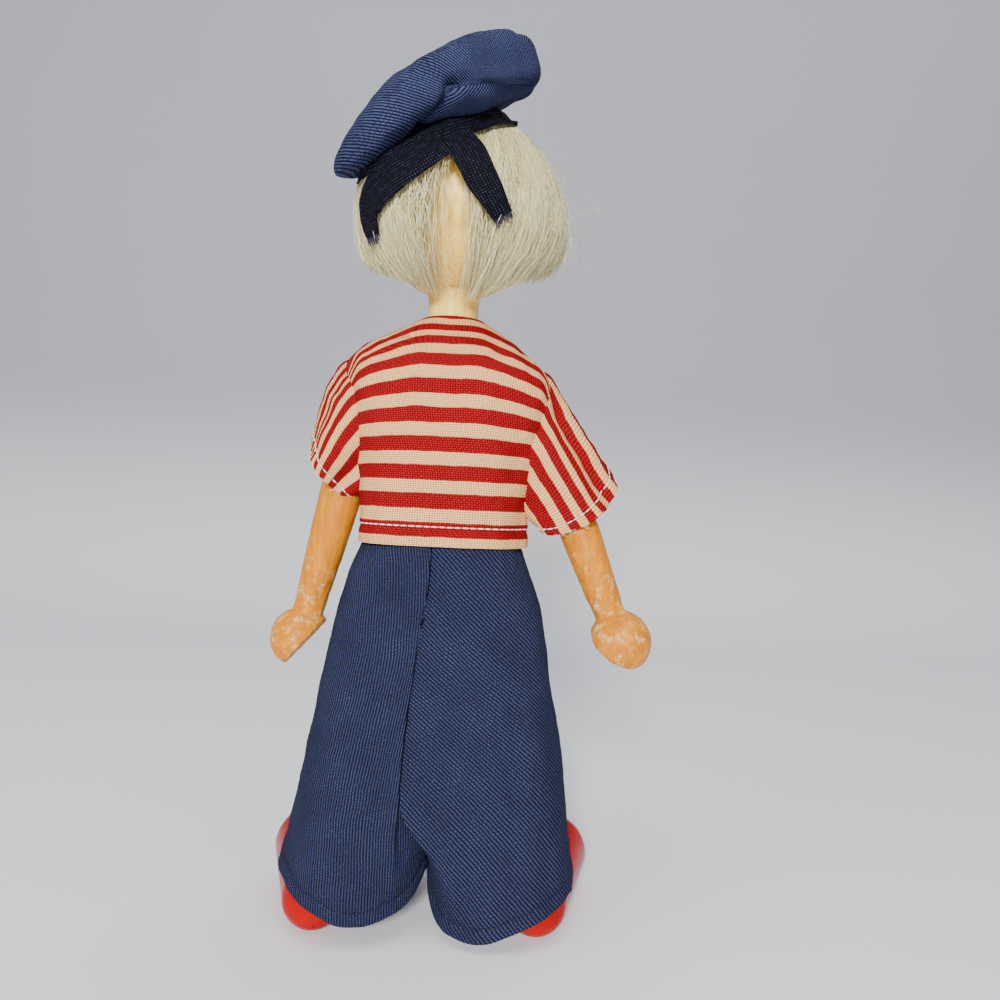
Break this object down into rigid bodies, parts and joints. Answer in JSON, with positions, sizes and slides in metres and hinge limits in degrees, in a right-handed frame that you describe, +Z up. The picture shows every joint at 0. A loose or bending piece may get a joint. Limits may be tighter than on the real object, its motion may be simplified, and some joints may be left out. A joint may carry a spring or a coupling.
{
  "type": "jointed wooden doll",
  "caption": "Turned wooden doll in sailor dress with a soft cap, pinned at the shoulders and hips, whose head turns in its body; it stands on its shoes.",
  "frame": {"origin": "on the floor, under the axis of the turned body", "axes": "+X to the doll's left, +Y to its back, +Z up; the doll faces -Y"},
  "size_m": [0.0795, 0.0472, 0.1823],
  "materials": {
    "wood": "old varnish, worn",
    "hair": "fine mohair",
    "cap_twill": "twill",
    "ribbon": "woven ribbon",
    "steel": "plain",
    "striped_cotton": "plain weave, striped",
    "thread": "twisted thread",
    "navy_twill": "twill",
    "elastic": "covered elastic",
    "red_paint": "gloss paint"
  },
  "bodies": {
    "torso": {"torso": "wood", "shoulder_pin_left": "steel", "shoulder_pin_right": "steel", "hip_pin_left": "steel", "hip_pin_right": "steel", "shirt_body": "striped_cotton", "neck_bow": "thread", "trouser_seat": "navy_twill", "waist_elastic": "elastic"},
    "head": {"head": "wood", "wig": "hair", "cap_crown": "cap_twill", "cap_band": "ribbon", "ribbon_tail_left": "ribbon", "ribbon_tail_right": "ribbon"},
    "arm_left": {"arm_left": "wood", "sleeve_left": "striped_cotton"},
    "arm_right": {"arm_right": "wood", "sleeve_right": "striped_cotton"},
    "leg_left": {"leg_left": "wood", "shoe_left": "red_paint", "trouser_leg_left": "navy_twill"},
    "leg_right": {"leg_right": "wood", "shoe_right": "red_paint", "trouser_leg_right": "navy_twill"}
  },
  "joints": [
    {"name": "neck_turn", "type": "hinge", "parent": "torso", "child": "head", "pos_m": [0, 0, 0.121], "axis": [0, 0, 1], "continuous": true},
    {"name": "shoulder_left", "type": "hinge", "parent": "torso", "child": "arm_left", "pos_m": [0.0166, 0, 0.111], "axis": [-0.9826, 0, -0.1857], "range_deg": [-40, 90]},
    {"name": "shoulder_right", "type": "hinge", "parent": "torso", "child": "arm_right", "pos_m": [-0.0166, 0, 0.111], "axis": [-0.9426, 0, 0.3338], "range_deg": [-32, 98]},
    {"name": "hip_left", "type": "hinge", "parent": "torso", "child": "leg_left", "pos_m": [0.0098, 0, 0.066], "axis": [-1, 0, 0], "range_deg": [-20, 90]},
    {"name": "hip_right", "type": "hinge", "parent": "torso", "child": "leg_right", "pos_m": [-0.0098, 0, 0.066], "axis": [-1, 0, 0], "range_deg": [-20, 90]}
  ]
}
